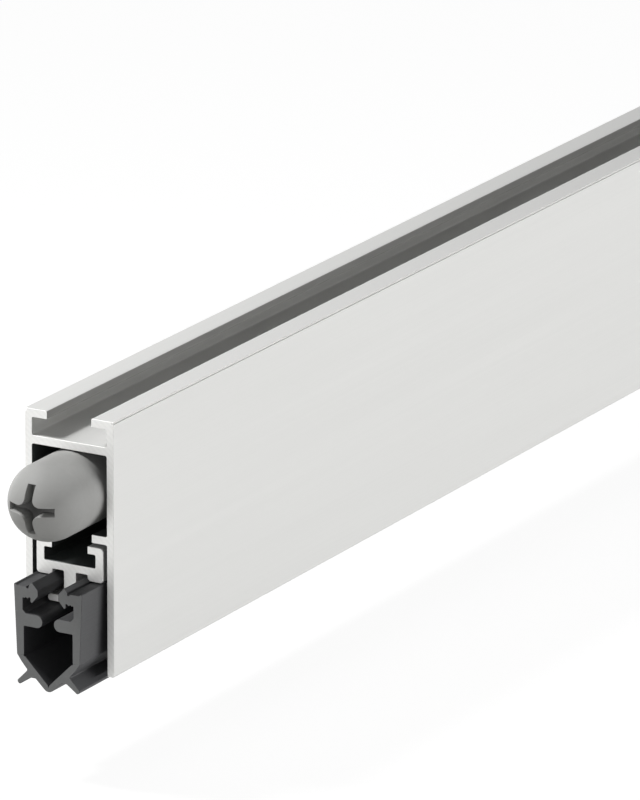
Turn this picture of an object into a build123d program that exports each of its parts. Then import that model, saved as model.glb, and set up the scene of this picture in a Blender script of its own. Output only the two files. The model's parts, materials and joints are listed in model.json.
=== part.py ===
from build123d import *
import math
import os

# Automatic door bottom seal. An aluminium housing is let into the foot of a door. When the door closes, its
# frame pushes the plunger in, and two leaf springs bow down and press a rubber seal on the floor.
# X runs across the door's thickness, Y along its width away from the plunger, and Z up.
# The origin is the middle of the mounting slot's mouth, at the plunger's end of the housing.

# Housing extrusion
length = 335.0
housing_width = 13.0
housing_height = 34.0
housing_wall = 1.0
lip_thickness = 1.1
mounting_slot_width = 6.5
mounting_channel_height = 2.4
web_thickness = 1.1
chamber_height = 10.75
rib_thickness = 1.1
rib_gap = 6.5
housing_edge_radius = 0.2

# Drop bar extrusion
bar_side_gap = 0.55
bar_top_gap = 0.55
bar_lip_thickness = 1.05
bar_slot_width = 5.2
bar_wall = 1.2
bar_channel_height = 1.7
bar_floor = 1.1
bar_foot_depth = 0.8
bar_recess_width = 5.2
bar_top_radius = 0.6
bar_foot_radius = 0.5
bar_foot_chamfer = 0.35
rail_stem_width = 1.8
rail_stem_length = 3.35
rail_head_width = 6.6
rail_head_thickness = 0.95
rail_bevel = 0.5
rail_edge_radius = 0.15

# Rubber seal extrusion, clipped over the drop bar's rail
seal_overhang = 5.4
seal_side_gap = 0.45
seal_foot_gap = 0.15
seal_shoulder_rise = 0.4
seal_shoulder_width = 0.45
seal_peak_gap = 0.25
seal_peak_inset = 0.2
seal_peak_slope = 0.8
seal_groove_radius = 0.22
clip_stem_gap = 0.6
clip_nose_height = 0.8
clip_arm_thickness = 1.4
clip_barb_gap = 0.3
clip_tooth = 0.2
seal_head_gap = 0.45
finger_gap = 0.25
finger_thickness = 1.7
finger_tip_half_gap = 0.85
finger_root_chamfer = 0.45
hollow_half_width = 3.6
hollow_wall_height = 3.9
hollow_notch = 0.25
seal_foot_half_width = 4.65
keel_radius = 0.9
keel_angle = 44.0
keel_depth = 4.4
keel_slit_half_width = 0.1
keel_slit_depth = 0.35
keel_shoulder = (4.0, 0.9)
fin_root_top = (3.1, 1.95)
fin_root_bottom = (2.7, 2.9)
fin_tip_top = (4.7, 3.6)
fin_tip_bottom = (4.3, 4.05)
fin_tip_radius = 0.28

# Plunger, push rod and the parts on it
knob_radius = 5.2
knob_rim_chamfer = 0.3
knob_straight = 5.05
knob_tail = 6.0
driver_slot_width = 1.1
driver_slot_reach = 3.3
driver_slot_depth = 2.15
driver_slot_lobe_radius = 1.15
insert_radius = 3.0
insert_length = 6.0
rod_radius = 2.0
rod_entry = 5.5
rod_end_chamfer = 0.4
thread_clearance = 0.05
bearing_clearance = 0.05
through_clearance = 0.3
seat_clearance = 0.02
ring_thickness = 0.6
ring_radius = 3.6
ring_band = 1.1
ring_lug_width = 1.0
ring_groove_depth = 0.4
ring_gap = 0.1

# Plastic blocks in the housing's upper chamber
guide_length = 12.0
guide_travel_gap = 1.0
fixed_block_gap = 0.1
sliding_block_gap = 0.3
block_key_gap = 0.15
block_length = 12.0
block_corner = 0.6
strip_groove_gap = 0.3
strip_groove_depth = 1.35
carriage_length = 12.0
carriage_channel_gap = 0.15
carriage_pad_gap = 0.25
carriage_inset = 94.0

# Leaf springs and fasteners
strip_width = 5.0
strip_thickness = 0.5
strip_free_span = 36.0
strip_rest_bow = 1.0
drop = 12.0
rivet_radius = 1.0
rivet_head_radius = 1.9
rivet_crown_radius = 1.4
rivet_head_height = 0.6
rivet_depth = 1.5
grub_radius = 1.5
grub_length = 2.8
grub_socket = 1.5
grub_socket_depth = 1.4
screw_radius = 1.25
screw_head_radius = 2.2
screw_length = 3.9

# Heights and half widths that follow from the sizes above
inner_width = housing_width - 2 * housing_wall
web_top = -lip_thickness - mounting_channel_height
chamber_top = web_top - web_thickness
rib_top = chamber_top - chamber_height
rib_bottom = rib_top - rib_thickness
axis_z = chamber_top - chamber_height / 2
bar_top = rib_bottom - bar_top_gap
bar_channel_top = bar_top - bar_lip_thickness
bar_channel_floor = bar_channel_top - bar_channel_height
bar_recess_roof = bar_channel_floor - bar_floor
bar_foot = bar_recess_roof - bar_foot_depth
rail_head_top = bar_recess_roof - rail_stem_length
rail_head_bottom = rail_head_top - rail_head_thickness
bar_width = inner_width - 2 * bar_side_gap
strip_end_top = rib_top + strip_groove_depth
strip_end_bottom = strip_end_top - strip_thickness
strip_middle_top = strip_end_top - strip_rest_bow
strip_middle_bottom = strip_middle_top - strip_thickness
top_middle = (Align.CENTER, Align.MAX)
low_middle = (Align.CENTER, Align.CENTER, Align.MIN)
high_middle = (Align.CENTER, Align.CENTER, Align.MAX)
plunger_axis = Axis((0, 0, axis_z), (0, 1, 0))
plunger_plane = Plane(origin=(0, 0, axis_z), x_dir=(0, 1, 0), z_dir=(1, 0, 0))

# Plunger travel: a leaf spring's half is an S-curve, longer than its span by 0.6 of its fall squared over the span
half_strip = strip_free_span + 0.6 * strip_rest_bow**2 / strip_free_span
dropped_span = (half_strip + math.sqrt(half_strip**2 - 2.4 * (strip_rest_bow + drop) ** 2)) / 2
plunger_stroke = 2 * (strip_free_span - dropped_span)

# Stations along Y
guide_start = knob_tail + plunger_stroke + guide_travel_gap
ring_start = guide_start + guide_length + ring_gap
carriage_centres = (carriage_inset, length - carriage_inset)
carriage_reach = carriage_length / 2 + strip_free_span
slider_starts = [centre - carriage_reach - block_length for centre in carriage_centres]
anchor_starts = [centre + carriage_reach for centre in carriage_centres]
rod_end = slider_starts[-1] + block_length

os.makedirs("parts", exist_ok=True)


def save(piece, name):
    """Labels a finished piece and writes its STEP file."""
    piece.part.label = name
    export_step(piece.part, f"parts/{name}.step")


# Housing: one extrusion with a mounting channel on top, a closed-in chamber for the mechanism and an open foot
with BuildPart() as housing_profile:
    with BuildSketch(Plane.XZ) as housing_section:
        Rectangle(housing_width, housing_height, align=top_middle)
        fillet(housing_section.vertices(), housing_edge_radius)
        Rectangle(mounting_slot_width, lip_thickness, align=top_middle, mode=Mode.SUBTRACT)
        with Locations((0, -lip_thickness)):
            Rectangle(inner_width, mounting_channel_height, align=top_middle, mode=Mode.SUBTRACT)
        with Locations((0, chamber_top)):
            Rectangle(inner_width, chamber_height, align=top_middle, mode=Mode.SUBTRACT)
        with Locations((0, rib_top)):
            Rectangle(rib_gap, rib_thickness, align=top_middle, mode=Mode.SUBTRACT)
        with Locations((0, rib_bottom)):
            Rectangle(inner_width, housing_height + rib_bottom, align=top_middle, mode=Mode.SUBTRACT)
    extrude(amount=-length)
    screw_stations = [guide_start + guide_length / 2, *(start + block_length / 2 for start in anchor_starts)]
    with BuildSketch(Plane.YZ.offset(-housing_width / 2)) as screw_hole_mouths:
        with Locations(*[(station, axis_z) for station in screw_stations]):
            Circle(screw_head_radius)
    extrude(amount=housing_wall, taper=math.degrees(math.atan((screw_head_radius - screw_radius) / housing_wall)),
            mode=Mode.SUBTRACT)
save(housing_profile, "housing_profile")

# Drop bar: a C-channel that holds the carriages, two feet that bear on the seal, and a T-rail below
with BuildPart() as drop_bar:
    with BuildSketch(Plane.XZ) as bar_section:
        with Locations((0, bar_top)):
            Rectangle(bar_width, bar_top - bar_foot, align=top_middle)
        fillet(bar_section.vertices().sort_by(Axis.Y)[2:], bar_top_radius)
        fillet(bar_section.vertices().sort_by(Axis.Y)[:2], bar_foot_radius)
        with Locations((0, bar_top)):
            Rectangle(bar_slot_width, bar_lip_thickness, align=top_middle, mode=Mode.SUBTRACT)
        with Locations((0, bar_channel_top)):
            Rectangle(bar_width - 2 * bar_wall, bar_channel_height, align=top_middle, mode=Mode.SUBTRACT)
        with Locations((0, bar_recess_roof)):
            Rectangle(bar_recess_width, bar_foot_depth, align=top_middle, mode=Mode.SUBTRACT)
        foot_corners = bar_section.vertices().group_by(Axis.Y)[0].sort_by(Axis.X)
        chamfer(foot_corners[1:3], bar_foot_chamfer)
        with Locations((0, bar_recess_roof)):
            Rectangle(rail_stem_width, rail_stem_length, align=top_middle)
        with Locations((0, rail_head_top)):
            Rectangle(rail_head_width, rail_head_thickness, align=top_middle)
        head_corners = bar_section.vertices().filter_by_position(Axis.Y, rail_head_top - 0.01, rail_head_top + 0.01)
        chamfer(head_corners.sort_by(Axis.X)[0::3], rail_bevel)
        fillet(bar_section.vertices().group_by(Axis.Y)[0], rail_edge_radius)
    extrude(amount=-length)
save(drop_bar, "drop_bar")

# Rubber seal: one soft extrusion, drawn as its right half. Its arms grip the rail, two fingers close its hollow,
# and a keel with a fin on each side meets the floor
seal_half_width = inner_width / 2 - seal_side_gap
land_z = bar_foot - seal_foot_gap
shoulder_z = land_z + seal_shoulder_rise
peak_x = bar_recess_width / 2 - seal_peak_inset
peak_z = bar_recess_roof - seal_peak_gap
slope_foot_x = peak_x + (peak_z - land_z) * seal_peak_slope
nose_x = rail_stem_width / 2 + clip_stem_gap
nose_z = peak_z - (peak_x - nose_x) * 1.1
barb_z = rail_head_top + clip_barb_gap
arm_z = land_z - clip_arm_thickness
wall_x = rail_head_width / 2 + seal_head_gap
finger_top = rail_head_bottom - finger_gap
finger_bottom = finger_top - finger_thickness
finger_centre_x = finger_tip_half_gap + finger_thickness / 2
hollow_floor = finger_bottom - hollow_wall_height
keel_bottom = hollow_floor - keel_depth
keel_slope = math.radians(keel_angle)
keel_tangent = (keel_radius * math.sin(keel_slope), keel_bottom + keel_radius * (1 - math.cos(keel_slope)))
web_z = hollow_floor - fin_root_bottom[1]
web_x = keel_tangent[0] + (web_z - keel_tangent[1]) / math.tan(keel_slope)
apex_z = hollow_floor - hollow_half_width + keel_slit_half_width
tooth_step = (wall_x - peak_x - clip_tooth) / 5
teeth = [(wall_x - (step + 1) * tooth_step, arm_z - (step % 2 == 0) * clip_tooth) for step in range(4)]

with BuildPart() as rubber_seal:
    with BuildSketch(Plane.XZ.offset(seal_overhang)) as seal_section:
        with BuildLine() as seal_outline:
            outer = Polyline(
                keel_tangent,
                (web_x, web_z),
                (fin_root_bottom[0], web_z),
                (fin_tip_bottom[0], hollow_floor - fin_tip_bottom[1]),
                (fin_tip_top[0], hollow_floor - fin_tip_top[1]),
                (fin_root_top[0], hollow_floor - fin_root_top[1]),
                (keel_shoulder[0], hollow_floor - keel_shoulder[1]),
                (seal_foot_half_width, hollow_floor),
                (seal_half_width, shoulder_z),
                (seal_half_width - seal_shoulder_width, land_z),
                (slope_foot_x, land_z),
                (peak_x, peak_z),
                (nose_x, nose_z),
                (nose_x, nose_z - clip_nose_height),
                (peak_x, barb_z),
                (peak_x + clip_tooth, barb_z + clip_tooth),
                (peak_x + clip_tooth, arm_z),
                *reversed(teeth),
                (wall_x, arm_z),
                (wall_x, finger_top + finger_root_chamfer),
                (wall_x - finger_root_chamfer, finger_top),
                (finger_centre_x, finger_top),
            )
            finger_tip = ThreePointArc(
                outer @ 1,
                (finger_tip_half_gap, (finger_top + finger_bottom) / 2),
                (finger_centre_x, finger_bottom),
            )
            inner = Polyline(
                finger_tip @ 1,
                (hollow_half_width, finger_bottom),
                (hollow_half_width, hollow_floor),
                (hollow_half_width + hollow_notch, hollow_floor),
                (hollow_half_width - hollow_notch, hollow_floor - hollow_notch),
                (keel_slit_half_width, apex_z),
                (0, apex_z - keel_slit_depth),
                (0, keel_bottom),
            )
            RadiusArc(keel_tangent, inner @ 1, keel_radius)
        make_face()
        fin_tips = seal_section.vertices().filter_by_position(Axis.X, fin_tip_bottom[0] - 0.01, fin_tip_top[0] + 0.01)
        fillet(fin_tips.sort_by(Axis.Y)[:2], fin_tip_radius)
        with Locations((slope_foot_x, land_z)):
            Circle(seal_groove_radius, mode=Mode.SUBTRACT)
        mirror(about=Plane.YZ)
    extrude(amount=-(length + 2 * seal_overhang))
save(rubber_seal, "rubber_seal")

# Plunger knob: a moulded nylon bullet with a cross slot for setting the drop, bored for its brass insert
knob_nose = knob_straight + knob_radius
with BuildPart() as plunger_knob:
    with BuildSketch(plunger_plane) as knob_section:
        with BuildLine():
            side = Line((knob_tail, knob_radius), (-knob_straight, knob_radius))
            dome = JernArc(side @ 1, side % 1, knob_radius, 90)
            Polyline(dome @ 1, (knob_tail, 0), side @ 0)
        make_face()
    revolve(axis=plunger_axis)
    chamfer(plunger_knob.edges().group_by(Axis.Y)[-1], knob_rim_chamfer)
    with BuildSketch(Plane.XZ.offset(knob_nose - driver_slot_depth)) as driver_slot:
        with Locations((0, axis_z)):
            Rectangle(2 * driver_slot_reach, driver_slot_width)
            Rectangle(driver_slot_width, 2 * driver_slot_reach)
        fillet(driver_slot.vertices().sort_by_distance((0, axis_z))[:4], driver_slot_lobe_radius)
    extrude(amount=driver_slot_depth, mode=Mode.SUBTRACT)
    with BuildSketch(Plane.XZ.offset(-knob_tail)) as insert_pocket:
        with Locations((0, axis_z)):
            Circle(insert_radius + seat_clearance)
    extrude(amount=insert_length, mode=Mode.SUBTRACT)
save(plunger_knob, "plunger_knob")

# Threaded insert: a brass bush pressed into the knob, tapped for the push rod
with BuildPart() as threaded_insert:
    with BuildSketch(Plane.XZ.offset(-knob_tail)):
        with Locations((0, axis_z)):
            Circle(insert_radius)
            Circle(rod_radius + thread_clearance, mode=Mode.SUBTRACT)
    extrude(amount=insert_length)
save(threaded_insert, "threaded_insert")

# Push rod: a round steel bar with a threaded nose in the knob and a turned groove for its retaining ring
rod_start = knob_tail - rod_entry
groove_end = ring_start + ring_thickness + seat_clearance
groove_radius = rod_radius - ring_groove_depth
with BuildPart() as push_rod:
    with BuildSketch(plunger_plane):
        with BuildLine():
            Polyline(
                (rod_start, 0),
                (rod_start, rod_radius - rod_end_chamfer),
                (rod_start + rod_end_chamfer, rod_radius),
                (ring_start - seat_clearance, rod_radius),
                (ring_start - seat_clearance, groove_radius),
                (groove_end, groove_radius),
                (groove_end, rod_radius),
                (rod_end - rod_end_chamfer, rod_radius),
                (rod_end, rod_radius - rod_end_chamfer),
                (rod_end, 0),
                close=True,
            )
        make_face()
    revolve(axis=plunger_axis)
save(push_rod, "push_rod")

# Retaining ring: a stamped steel clip with three lugs in the rod's groove, which stops the rod at the guide
with BuildPart() as retaining_ring:
    with BuildSketch(Plane.XZ.offset(-ring_start)) as ring_section:
        with Locations((0, axis_z)):
            Circle(ring_radius)
            Circle(ring_radius - ring_band, mode=Mode.SUBTRACT)
            with PolarLocations(0, 3, start_angle=90):
                with Locations((groove_radius + seat_clearance, 0)):
                    Rectangle(ring_radius - rod_radius, ring_lug_width, align=(Align.MIN, Align.CENTER))
            Rectangle(2 * groove_radius, ring_radius + rod_radius, align=top_middle, mode=Mode.SUBTRACT)
    extrude(amount=-ring_thickness)
save(retaining_ring, "retaining_ring")

# Guide block: moulded acetal, keyed between the ribs and screwed to the housing, with the rod's bearing in it
with BuildPart() as guide_block:
    with BuildSketch(Plane.XZ.offset(-guide_start)) as guide_section:
        with Locations((0, rib_top)):
            Rectangle(inner_width - 2 * fixed_block_gap, chamber_height - fixed_block_gap,
                      align=(Align.CENTER, Align.MIN))
            chamfer(guide_section.vertices(), block_corner)
            Rectangle(rib_gap - 2 * block_key_gap, rib_thickness, align=top_middle)
        with Locations((0, axis_z)):
            Circle(rod_radius + bearing_clearance, mode=Mode.SUBTRACT)
    extrude(amount=-guide_length)
    with BuildSketch(Plane.YZ.offset(-housing_width / 2)):
        with Locations((screw_stations[0], axis_z)):
            Circle(screw_radius + seat_clearance)
    extrude(amount=screw_length, mode=Mode.SUBTRACT)
save(guide_block, "guide_block")

# Anchor blocks: moulded acetal, screwed in the chamber. Each holds the still end of a leaf spring
for number, start in enumerate(anchor_starts, 1):
    with BuildPart() as anchor_block:
        with BuildSketch(Plane.XZ.offset(-start)) as anchor_section:
            with Locations((0, rib_top)):
                Rectangle(inner_width - 2 * fixed_block_gap, chamber_height - fixed_block_gap,
                          align=(Align.CENTER, Align.MIN))
            chamfer(anchor_section.vertices(), block_corner)
            with Locations((0, strip_end_top)):
                Rectangle(strip_width + 2 * strip_groove_gap, strip_groove_depth, align=top_middle,
                          mode=Mode.SUBTRACT)
            with Locations((0, axis_z)):
                Circle(rod_radius + through_clearance, mode=Mode.SUBTRACT)
        extrude(amount=-block_length)
        with BuildSketch(Plane.YZ.offset(-housing_width / 2)):
            with Locations((screw_stations[number], axis_z)):
                Circle(screw_radius + seat_clearance)
        extrude(amount=screw_length, mode=Mode.SUBTRACT)
        with Locations((0, start + block_length / 2, strip_end_top)):
            Cylinder(rivet_radius + seat_clearance, rivet_depth, align=low_middle, mode=Mode.SUBTRACT)
    save(anchor_block, f"anchor_block_{number}")

# Slider blocks: moulded acetal, pinched on the rod by a grub screw. Each pushes the moving end of a leaf spring
for number, start in enumerate(slider_starts, 1):
    with BuildPart() as slider_block:
        with BuildSketch(Plane.XZ.offset(-start)) as slider_section:
            with Locations((0, axis_z)):
                Rectangle(inner_width - 2 * sliding_block_gap, chamber_height - 2 * sliding_block_gap)
            chamfer(slider_section.vertices(), block_corner)
            with Locations((0, strip_end_top)):
                Rectangle(strip_width + 2 * strip_groove_gap, strip_groove_depth, align=top_middle,
                          mode=Mode.SUBTRACT)
            with Locations((0, axis_z)):
                Circle(rod_radius + seat_clearance, mode=Mode.SUBTRACT)
        extrude(amount=-block_length)
        with Locations((0, start + block_length / 2, axis_z)):
            Cylinder(grub_radius + seat_clearance, chamber_height, align=low_middle, mode=Mode.SUBTRACT)
        with Locations((0, start + block_length / 2, strip_end_top)):
            Cylinder(rivet_radius + seat_clearance, rivet_depth, align=low_middle, mode=Mode.SUBTRACT)
    save(slider_block, f"slider_block_{number}")

# Spring carriages: moulded acetal feet that slide in the drop bar's channel, with a pad under the leaf spring
pad_bottom = bar_top + carriage_channel_gap
foot_top = bar_channel_top - carriage_channel_gap
foot_bottom = bar_channel_floor + carriage_channel_gap
for number, centre in enumerate(carriage_centres, 1):
    with BuildPart() as spring_carriage:
        with BuildSketch(Plane.XZ.offset(carriage_length / 2 - centre)):
            with Locations((0, strip_middle_bottom)):
                Rectangle(rib_gap - 2 * carriage_pad_gap, strip_middle_bottom - pad_bottom, align=top_middle)
                Rectangle(bar_slot_width - 2 * carriage_channel_gap, strip_middle_bottom - foot_bottom,
                          align=top_middle)
            with Locations((0, foot_top)):
                Rectangle(bar_width - 2 * bar_wall - 2 * carriage_channel_gap, foot_top - foot_bottom,
                          align=top_middle)
        extrude(amount=-carriage_length)
        with Locations((0, centre, strip_middle_bottom)):
            Cylinder(rivet_radius + seat_clearance, strip_middle_bottom - foot_bottom, align=high_middle,
                     mode=Mode.SUBTRACT)
    save(spring_carriage, f"spring_carriage_{number}")

# Leaf springs: flat stainless strip, riveted under a slider and an anchor and on top of a carriage. Each rests with
# a slight bow, so that it always buckles downwards
for number, centre in enumerate(carriage_centres, 1):
    stations = [
        slider_starts[number - 1],
        slider_starts[number - 1] + block_length,
        centre - carriage_length / 2,
        centre + carriage_length / 2,
        anchor_starts[number - 1],
        anchor_starts[number - 1] + block_length,
    ]
    with BuildPart() as leaf_spring:
        with BuildSketch(Plane.YZ) as strip_edge:
            with BuildLine():
                for end_z, middle_z in ((strip_end_top, strip_middle_top), (strip_end_bottom, strip_middle_bottom)):
                    Line((stations[0], end_z), (stations[1], end_z))
                    Line((stations[2], middle_z), (stations[3], middle_z))
                    Line((stations[4], end_z), (stations[5], end_z))
                    for still, moving in ((stations[1], stations[2]), (stations[4], stations[3])):
                        third = (moving - still) / 3
                        Bezier((still, end_z), (still + third, end_z), (moving - third, middle_z), (moving, middle_z))
                for end in (stations[0], stations[5]):
                    Line((end, strip_end_top), (end, strip_end_bottom))
            make_face()
        extrude(amount=strip_width / 2, both=True)
        rivet_stations = (stations[0] + block_length / 2, centre, stations[4] + block_length / 2)
        with Locations(*[(0, station, strip_middle_bottom) for station in rivet_stations]):
            Cylinder(rivet_radius + seat_clearance, strip_end_top - strip_middle_bottom, align=low_middle,
                     mode=Mode.SUBTRACT)
    save(leaf_spring, f"leaf_spring_{number}")

# Rivets: the leaf springs' ends are riveted upwards into their blocks
for name, starts in (("slider_rivets", slider_starts), ("anchor_rivets", anchor_starts)):
    with BuildPart() as end_rivets:
        with Locations(*[(0, start + block_length / 2, strip_end_bottom) for start in starts]):
            Cone(rivet_crown_radius, rivet_head_radius, rivet_head_height, align=high_middle)
            Cylinder(rivet_radius, strip_thickness + rivet_depth, align=low_middle)
    save(end_rivets, name)

# Rivets: the middles of the leaf springs are riveted down through the carriages
with BuildPart() as carriage_rivets:
    with Locations(*[(0, centre, strip_middle_top) for centre in carriage_centres]):
        Cone(rivet_head_radius, rivet_crown_radius, rivet_head_height, align=low_middle)
        Cylinder(rivet_radius, strip_middle_top - foot_bottom, align=high_middle)
save(carriage_rivets, "carriage_rivets")

# Grub screws: hexagon-socket steel screws that pinch the slider blocks on the rod
with BuildPart() as grub_screws:
    for start in slider_starts:
        with Locations((0, start + block_length / 2, axis_z + rod_radius + seat_clearance)):
            Cylinder(grub_radius, grub_length, align=low_middle)
    with BuildSketch(Plane.XY.offset(axis_z + rod_radius + seat_clearance + grub_length)):
        with Locations(*[(0, start + block_length / 2) for start in slider_starts]):
            RegularPolygon(grub_socket / 2, 6, major_radius=False)
    extrude(amount=-grub_socket_depth, mode=Mode.SUBTRACT)
save(grub_screws, "grub_screws")

# Fixing screws: countersunk steel screws through the housing's left wall, one in the guide and one in each anchor
with BuildPart(Plane.YZ.offset(-housing_width / 2)) as fixing_screws:
    with Locations(*[(station, axis_z) for station in screw_stations]):
        Cone(screw_head_radius - seat_clearance, screw_radius - seat_clearance, housing_wall, align=low_middle)
        Cylinder(screw_radius - seat_clearance, screw_length, align=low_middle)
save(fixing_screws, "fixing_screws")
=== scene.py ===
"""Automatic door bottom seal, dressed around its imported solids. Lengths are millimetres until they reach a mesh."""
import json

import bmesh
import bpy
import numpy as np
from mathutils import Matrix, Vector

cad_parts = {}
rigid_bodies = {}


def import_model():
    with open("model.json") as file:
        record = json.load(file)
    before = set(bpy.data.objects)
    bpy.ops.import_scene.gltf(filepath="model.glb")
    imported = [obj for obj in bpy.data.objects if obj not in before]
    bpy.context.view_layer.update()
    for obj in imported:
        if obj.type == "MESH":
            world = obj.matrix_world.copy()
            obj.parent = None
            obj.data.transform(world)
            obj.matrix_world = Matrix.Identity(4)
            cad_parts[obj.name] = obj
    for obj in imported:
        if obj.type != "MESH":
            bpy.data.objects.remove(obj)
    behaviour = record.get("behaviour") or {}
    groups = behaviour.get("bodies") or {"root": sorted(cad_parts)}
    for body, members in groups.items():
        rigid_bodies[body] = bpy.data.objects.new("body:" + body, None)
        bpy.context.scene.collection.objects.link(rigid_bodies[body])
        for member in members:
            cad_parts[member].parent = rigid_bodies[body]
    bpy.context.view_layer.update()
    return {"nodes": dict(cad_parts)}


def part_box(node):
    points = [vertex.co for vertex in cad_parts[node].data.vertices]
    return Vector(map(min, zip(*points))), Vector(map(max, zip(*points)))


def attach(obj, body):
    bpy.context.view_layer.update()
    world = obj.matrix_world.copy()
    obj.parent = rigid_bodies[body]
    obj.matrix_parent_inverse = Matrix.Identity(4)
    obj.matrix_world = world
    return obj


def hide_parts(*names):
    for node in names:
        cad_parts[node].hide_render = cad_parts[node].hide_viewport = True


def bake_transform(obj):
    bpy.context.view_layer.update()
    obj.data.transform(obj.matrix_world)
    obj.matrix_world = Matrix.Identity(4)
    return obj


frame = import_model()
MM = 0.001

# Camera: a long lens a metre off, that looks down on the plunger's end and along the right side. The frame cuts the
# housing off after about 146 mm of its length.
azimuth, elevation, roll = np.radians([29.412, 17.092, 0.195])
back = np.array([np.sin(azimuth) * np.cos(elevation), -np.cos(azimuth) * np.cos(elevation), np.sin(elevation)])
level = np.array([np.cos(azimuth), np.sin(azimuth), 0.0])
upright = np.cross(back, level)
across = np.cos(roll) * level + np.sin(roll) * upright
up = np.cos(roll) * upright - np.sin(roll) * level
top_corner = np.array([6.5, 0.0, 0.0])
aside, above, distance = 26.04, 2.85, 1081.6
eye = (top_corner + aside * across + above * up + distance * back) * MM
camera = bpy.data.objects.new("camera", bpy.data.cameras.new("camera"))
camera.data.lens = 386.56
camera.data.sensor_width = 36.0
camera.matrix_world = Matrix(
    [[*row, place] for row, place in zip(np.stack([across, up, back], 1), eye)] + [[0, 0, 0, 1]])
bpy.context.scene.collection.objects.link(camera)
bpy.context.scene.camera = camera
bpy.context.scene.view_settings.view_transform = "Standard"


# Studio: a white room, a small soft key lamp above and to the left of the plunger's end, a long low lamp on each side
# for the long faces, and a broad one in front of the sawn end. The pale floor lies 0.3 mm under the lowered seal.
def linear(code):
    """sRGB hex to linear colour: a channel c is c / 12.92 up to 0.04045, and ((c + 0.055) / 1.055) ** 2.4 above."""
    c = np.array([int(code[i:i + 2], 16) for i in (1, 3, 5)]) / 255
    return (*np.where(c <= 0.04045, c / 12.92, ((c + 0.055) / 1.055) ** 2.4).tolist(), 1.0)


def add(tree, kind, inputs={}, **settings):
    """Adds a node with its settings, and fills each input with a value or with the output that is linked to it."""
    node = tree.nodes.new(kind)
    for name, value in settings.items():
        setattr(node, name, value)
    for name, value in inputs.items():
        if isinstance(value, bpy.types.NodeSocket):
            tree.links.new(value, node.inputs[name])
        else:
            node.inputs[name].default_value = value
    return node


def lamp(name, size, power, place, target):
    """Oblong area lamp at a place, facing a target, all in millimetres. Size is its width and height, and power is in
    watts."""
    light = bpy.data.lights.new(name, "AREA")
    light.shape, light.size, light.size_y, light.energy = "RECTANGLE", size[0] * MM, size[1] * MM, power
    z = (np.array(place) - target) / np.linalg.norm(np.array(place) - target)
    x = np.cross([0, 0, 1], z) / np.linalg.norm(np.cross([0, 0, 1], z))
    obj = bpy.data.objects.new(name, light)
    obj.matrix_world = Matrix(
        [[*row, p * MM] for row, p in zip(np.stack([x, np.cross(z, x), z], 1), place)] + [[0, 0, 0, 1]])
    bpy.context.scene.collection.objects.link(obj)


lamp("key_lamp", (55, 55), 0.76, (-155, -52, 250), (0, 10, -8))
lamp("side_lamp", (900, 40), 10.8, (1180, 580, -24), (0, 150, -24))
lamp("left_lamp", (900, 160), 6.5, (-1300, 520, -17), (0, 200, -17))
lamp("front_lamp", (600, 400), 2.8, (-20, -880, 150), (0, 0, -17))

room = bpy.data.worlds.new("room")
bpy.context.scene.world = room
room.use_nodes = True
tree = room.node_tree
tree.nodes.clear()
rays = add(tree, "ShaderNodeLightPath")
shown = add(tree, "ShaderNodeMath", {0: rays.outputs["Is Camera Ray"], 1: rays.outputs["Is Glossy Ray"]},
            operation="MAXIMUM")
shown = add(tree, "ShaderNodeMath", {0: shown.outputs[0], 1: rays.outputs["Is Transmission Ray"]}, operation="MAXIMUM")
room_light, room_white = 0.09, 1.0
strength = add(tree, "ShaderNodeMath", {0: shown.outputs[0], 1: room_white - room_light, 2: room_light},
               operation="MULTIPLY_ADD")
sky = add(tree, "ShaderNodeBackground", {"Color": linear("#FFFFFF"), "Strength": strength.outputs[0]})
add(tree, "ShaderNodeOutputWorld", {"Surface": sky.outputs[0]})

floor_level, floor_reach = -47.7, 4000.0
paper = bpy.data.materials.new("floor_paper")
paper.use_nodes = True
tree = paper.node_tree
tree.nodes.clear()
rays = add(tree, "ShaderNodeLightPath")
grain = add(tree, "ShaderNodeTexNoise", {"Scale": 0.9 / MM, "Detail": 2.0})
tone = add(tree, "ShaderNodeMix", {"Factor": grain.outputs[0], "A": linear("#989896"), "B": linear("#9E9E9C")},
           data_type="RGBA")
tone = add(tree, "ShaderNodeMix",
           {"Factor": rays.outputs["Is Camera Ray"], "A": tone.outputs[2], "B": linear("#6C6C6C")}, data_type="RGBA")
matt = add(tree, "ShaderNodeBsdfDiffuse", {"Color": tone.outputs[2]})
glow = add(tree, "ShaderNodeMath", {0: rays.outputs["Is Camera Ray"], 1: rays.outputs["Is Glossy Ray"]},
           operation="MAXIMUM")
paper_glow = 0.94
glow = add(tree, "ShaderNodeMath", {0: glow.outputs[0], 1: paper_glow}, operation="MULTIPLY")
white = add(tree, "ShaderNodeEmission", {"Color": linear("#FFFFFF"), "Strength": glow.outputs[0]})
both = add(tree, "ShaderNodeAddShader", {0: matt.outputs[0], 1: white.outputs[0]})
add(tree, "ShaderNodeOutputMaterial", {"Surface": both.outputs[0]})
sheet = bpy.data.meshes.new("floor")
corners = np.array([(-1, -1, 1), (1, -1, 1), (1, 1, 1), (-1, 1, 1)]) * (floor_reach, floor_reach, floor_level) * MM
sheet.from_pydata(corners.tolist(), [], [(0, 1, 2, 3)])
sheet.materials.append(paper)
floor = bpy.data.objects.new("floor", sheet)
bpy.context.scene.collection.objects.link(floor)


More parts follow.
